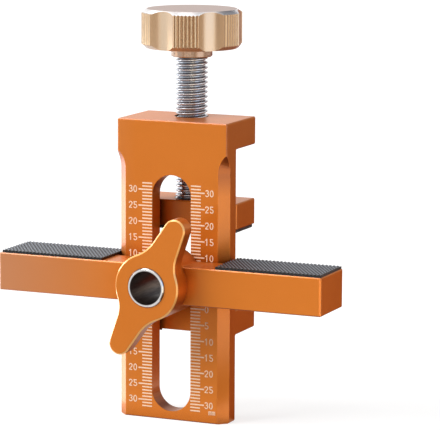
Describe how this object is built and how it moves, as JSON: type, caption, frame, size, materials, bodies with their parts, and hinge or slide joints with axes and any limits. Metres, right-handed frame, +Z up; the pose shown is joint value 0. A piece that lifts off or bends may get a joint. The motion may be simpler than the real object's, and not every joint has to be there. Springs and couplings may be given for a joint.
{
  "type": "cabinet door mounting jig",
  "caption": "Clamp-on jig for hanging cabinet doors: slotted plate with a printed scale, screw clamp behind it, and a cross bar with rest pads, drill guide sleeve and wing nut.",
  "frame": {"origin": "on the clamp screw's axis, level with the fixed jaw's clamping face", "axes": "+Z up along the clamp screw, towards its knob; -Y towards the user, out of the scale's face; +X to the user's right along the cross bar"},
  "size_m": [0.1072, 0.0496, 0.1264],
  "materials": {
    "orange_anodised": "satin orange anodised",
    "white_print": "thin white ink on orange",
    "gold_anodised": "bright champagne gold anodised",
    "bright_steel": "bright zinc plated",
    "sleeve_steel": "hardened and polished",
    "jaw_rubber": "black rubber",
    "pad_rubber": "ribbed dark grey rubber"
  },
  "bodies": {
    "clamp": {"clamp_body": "orange_anodised", "scale_ticks": "white_print", "scale_figures": "white_print", "fixed_jaw_pad": "jaw_rubber"},
    "moving_jaw": {"moving_jaw": "orange_anodised", "moving_jaw_pad": "jaw_rubber", "thrust_washer": "bright_steel"},
    "clamp_screw": {"clamp_screw": "bright_steel", "knob": "gold_anodised", "retaining_ring": "bright_steel"},
    "cross_bar": {"cross_bar": "orange_anodised", "rest_pad_left": "pad_rubber", "rest_pad_right": "pad_rubber"},
    "guide_sleeve": {"guide_sleeve": "sleeve_steel"},
    "wing_nut": {"wing_nut": "orange_anodised"}
  },
  "joints": [
    {"name": "jaw_slide", "type": "slide", "parent": "clamp", "child": "moving_jaw", "axis": [0, 0, 1], "range_m": [-0.018, 0.0165]},
    {"name": "clamp_screw_turn", "type": "hinge", "parent": "moving_jaw", "child": "clamp_screw", "pos_m": [0, 0, 0.06], "axis": [0, 0, 1], "range_deg": [-4321, 3961]},
    {"name": "bar_slide", "type": "slide", "parent": "clamp", "child": "cross_bar", "axis": [0, 0, 1], "range_m": [-0.0357, 0.0257]},
    {"name": "wing_nut_turn", "type": "hinge", "parent": "cross_bar", "child": "wing_nut", "pos_m": [0, -0.03, 0.009], "axis": [0, -1, 0], "range_deg": [0, 120]},
    {"name": "sleeve_draw", "type": "slide", "parent": "cross_bar", "child": "guide_sleeve", "axis": [0, 1, 0], "range_m": [0, 0.000334]}
  ],
  "couplings": [
    {"joint": "clamp_screw_turn", "follows": "jaw_slide", "rad_per_m": 4188.8},
    {"joint": "sleeve_draw", "follows": "wing_nut_turn", "m_per_rad": 0.00015915}
  ]
}
